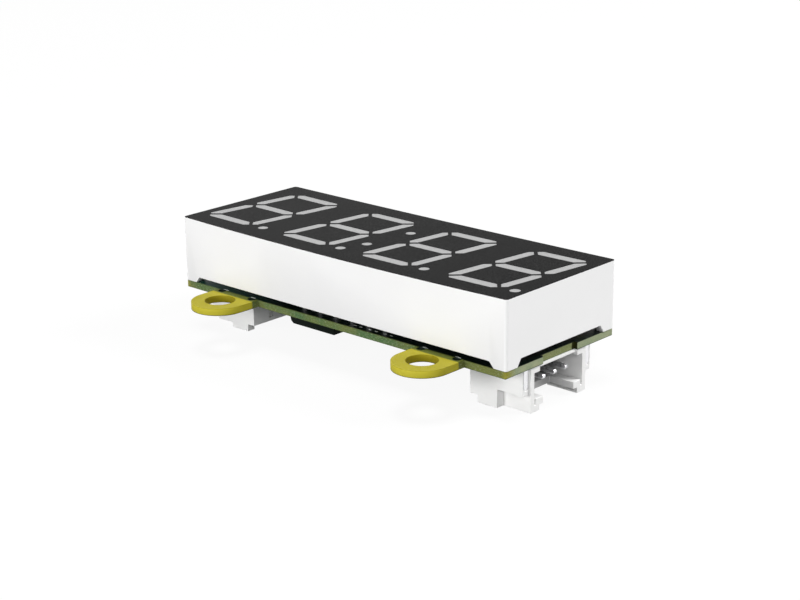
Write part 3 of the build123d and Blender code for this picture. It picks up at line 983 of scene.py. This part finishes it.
# %% Solder mounds
LEAD_MOUND = (0.8 * MM, 0.5 * MM, 0.17 * MM)
CONTACT_MOUND = (0.9 * MM, 0.8 * MM, 0.2 * MM)
SMALL_MOUND = (0.5 * MM, 0.3 * MM)
SMALL_MOUND_SHARE = 0.9


def mound(shape, x, y, length, width, height):
    """Half of a flattened ball that hangs below the underside of the board."""
    ball = bmesh.new()
    stretch = Matrix.Diagonal((length / 2, width / 2, height, 1.0))
    bmesh.ops.create_uvsphere(
        ball, u_segments=16, v_segments=10, radius=1.0,
        matrix=Matrix.Translation((x, y, UNDERSIDE)) @ stretch)
    bmesh.ops.bisect_plane(
        ball, geom=ball.verts[:] + ball.edges[:] + ball.faces[:], dist=0.0001 * MM,
        plane_co=(0, 0, UNDERSIDE), plane_no=(0, 0, 1), clear_outer=True)
    bmesh.ops.holes_fill(ball, edges=[edge for edge in ball.edges if edge.is_boundary], sides=0)
    part = bpy.data.meshes.new("mound")
    ball.to_mesh(part)
    ball.free()
    shape.from_mesh(part)
    bpy.data.meshes.remove(part)


mounds = bmesh.new()
for side in (-1, 1):
    for y in LEAD_PLACES:
        mound(mounds, CHIP_X + side * (LEAD_TOE + 0.02 * MM), y, *LEAD_MOUND)
    for y in CONTACT_PLACES:
        mound(mounds, side * (CONTACT_TIP + 0.05 * MM), y, *CONTACT_MOUND)
for x, y, way, reach, width in small_part_ends():
    mound(
        mounds, x * MM, (y + way * (reach + 0.05)) * MM, SMALL_MOUND_SHARE * width * MM,
        *SMALL_MOUND)
mound_piece = finished_piece("reflowed_solder_mounds", mounds, SOLDER)
print("mounds", len(mound_piece.data.polygons), "faces")

# %% [markdown]
# White print frames the parts on the underside, with a dot at the chip's first lead. On the
# upper side a broken line of it shows in the gap under the case, and a short bar lies at each
# small hole beside the ears. The print carries no letters or numbers.

# %% White print, in millimetres
LINE = 0.15
# Each line, dash and bar is given by its middle, its length and its width.
FRAME_LINES = [
    (CHIP_X / MM, 6.66, 7.2, LINE), (1.62, 2.4, LINE, 2.6), (3.58, 2.4, LINE, 2.6),
    (5.5, 2.4, LINE, 2.2), (6.9, 2.4, LINE, 2.2), (20.8, 6.15, 7.4, LINE),
    (-20.8, 6.15, 7.4, LINE), (17.02, 5.0, LINE, 2.3), (-17.02, 5.0, LINE, 2.3),
    (7.85, 7.62, LINE, 1.2),
]
FIRST_LEAD_DOT = (-11.6, 6.9, 0.25)
DASH_PLACES = [start + step for start in (2.6, 4.9, 7.2) for step in (0.0, 0.9)]
DASHES = [(x, -8.7, 0.4, 0.13) for x in DASH_PLACES]
BAR_OFFSET = 2.35
EAR_BARS = [
    (end * EAR_X / MM + way * BAR_OFFSET, side * 9.2, 0.75, 0.14)
    for side in (-1, 1) for end in (-1, 1) for way in (-1, 1)
]


def board_print():
    """White ink, a little worn."""
    finish = new_finish("board_white_print", screen(222, 226, 220), 0.55, specular=0.2)
    worn = noise(finish, 0.12 * MM, detail=3)
    paint(finish, worn, screen(208, 214, 206), screen(232, 235, 230))
    emboss(finish, worn, 0.004 * MM)
    return finish


PRINT_WHITE = board_print()
white_lines = bmesh.new()
for side in (-1, 1):
    for x, y, length, width in FRAME_LINES:
        plate(white_lines, x * MM, side * y * MM, length * MM, width * MM, PRINT)
disc(white_lines, *[value * MM for value in FIRST_LEAD_DOT], PRINT)
for values in DASHES + EAR_BARS:
    plate(white_lines, *[value * MM for value in values], PRINT, level=BOARD_TOP + PRINT / 2)
print_piece = finished_piece("board_white_print", white_lines, PRINT_WHITE)
print("print", len(print_piece.data.polygons), "faces,", len(DASHES), "dashes on top")

# %% [markdown]
# The module stands on a pale table in an even white room. The white of the background is the
# colour that the camera sees, and no stronger light: the floor adds a plain glow to what the
# camera sees of it, directly or mirrored, over a darker part that still shows where the module
# shades it. To all other light it is a dark grey, which sets how much light comes back up from
# it. Seen from below, the floor is clear.

# %% Floor
FLOOR_SIZE = 3.0
FLOOR_BOUNCE = 0.16
FLOOR_SHADED = 0.06
FLOOR_GLOW = 0.92


def diffuse(nodes, level):
    """A plain matt grey, given as the share of light that it sends back."""
    node = nodes.new("ShaderNodeBsdfDiffuse")
    node.inputs["Color"].default_value = (level, level, level, 1.0)
    return node.outputs["BSDF"]


def table_finish():
    """Near white to the camera, dark grey to the light, and clear from below."""
    finish = bpy.data.materials.new("pale_table")
    finish.use_nodes = True
    nodes = finish.node_tree.nodes
    nodes.clear()
    rays = nodes.new("ShaderNodeLightPath")
    geometry = nodes.new("ShaderNodeNewGeometry")
    glow = nodes.new("ShaderNodeEmission")
    glow.inputs["Strength"].default_value = FLOOR_GLOW
    seen = nodes.new("ShaderNodeAddShader")
    clear = nodes.new("ShaderNodeBsdfTransparent")
    by_ray = nodes.new("ShaderNodeMixShader")
    by_side = nodes.new("ShaderNodeMixShader")
    output = nodes.new("ShaderNodeOutputMaterial")
    camera_or_glossy = combine(
        finish, "MAXIMUM", rays.outputs["Is Camera Ray"], rays.outputs["Is Glossy Ray"])
    link(finish, diffuse(nodes, FLOOR_SHADED), seen.inputs[0])
    link(finish, glow.outputs["Emission"], seen.inputs[1])
    link(finish, camera_or_glossy, by_ray.inputs["Fac"])
    link(finish, diffuse(nodes, FLOOR_BOUNCE), by_ray.inputs[1])
    link(finish, seen.outputs["Shader"], by_ray.inputs[2])
    link(finish, geometry.outputs["Backfacing"], by_side.inputs["Fac"])
    link(finish, by_ray.outputs["Shader"], by_side.inputs[1])
    link(finish, clear.outputs["BSDF"], by_side.inputs[2])
    link(finish, by_side.outputs["Shader"], output.inputs["Surface"])
    return finish


floor_shape = bmesh.new()
bmesh.ops.create_grid(floor_shape, x_segments=1, y_segments=1, size=FLOOR_SIZE / 2)
floor_mesh = bpy.data.meshes.new("table")
floor_shape.to_mesh(floor_mesh)
floor_shape.free()
floor_mesh.materials.append(table_finish())
floor = bpy.data.objects.new("table", floor_mesh)
bpy.context.scene.collection.objects.link(floor)
print("floor", FLOOR_SIZE, "m across")

# %% [markdown]
# Four large lamps give nearly all the light: one for the near wall, one for the right wall,
# one for the corner between them and for the sockets, and one straight above for the face. Each
# is given as a direction and as the brightness that it gives to a surface that faces it, so
# that the tones of the walls can be set one by one. The room itself adds hardly any light, or
# the gaps and the sockets' cavities would turn pale.

# %% Room
ROOM_LEVEL = 0.02
WHITE = (1.0, 1.0, 1.0, 1.0)


def white_room():
    """Faint even light from all round, and plain white where it is seen or mirrored."""
    world = bpy.data.worlds.new("white_room")
    world.use_nodes = True
    bpy.context.scene.world = world
    nodes = world.node_tree.nodes
    light = nodes["Background"]
    seen = nodes.new("ShaderNodeBackground")
    for background, strength in ((light, ROOM_LEVEL), (seen, 1.0)):
        background.inputs["Color"].default_value = WHITE
        background.inputs["Strength"].default_value = strength
    rays = nodes.new("ShaderNodeLightPath")
    shown = combine(world, "MAXIMUM", rays.outputs["Is Camera Ray"], rays.outputs["Is Glossy Ray"])
    shown = combine(world, "MAXIMUM", shown, rays.outputs["Is Transmission Ray"])
    choice = nodes.new("ShaderNodeMixShader")
    link(world, shown, choice.inputs["Fac"])
    link(world, light.outputs["Background"], choice.inputs[1])
    link(world, seen.outputs["Background"], choice.inputs[2])
    link(world, choice.outputs["Shader"], nodes["World Output"].inputs["Surface"])


white_room()
print("room level", ROOM_LEVEL)

# %% Lamps
LAMP_DISTANCE = 1.0
# Azimuth and elevation in degrees, side in metres, and level.
LAMPS = {
    "near_wall_lamp": (-10.0, 12.0, 0.36, 0.67),
    "corner_lamp": (48.0, 25.0, 0.36, 0.39),
    "right_wall_lamp": (136.0, 38.0, 0.4, 0.97),
    "face_lamp": (0.0, 85.0, 0.4, 0.75),
}


def studio_lamp(name, azimuth, elevation, size, level):
    """A square lamp that lights a surface facing it to about the given level."""
    back = direction(azimuth, elevation)
    data = bpy.data.lights.new(name, "AREA")
    data.size = size
    data.energy = level * (math.pi * LAMP_DISTANCE) ** 2
    lamp = bpy.data.objects.new(name, data)
    lamp.location = back * LAMP_DISTANCE
    lamp.rotation_mode = "QUATERNION"
    lamp.rotation_quaternion = (-back).to_track_quat("-Z", "Y")
    bpy.context.scene.collection.objects.link(lamp)
    return lamp


for name, values in LAMPS.items():
    lamp = studio_lamp(name, *values)
    print(name, round(lamp.data.energy, 2), "W")
bpy.context.scene.view_settings.view_transform = "Standard"
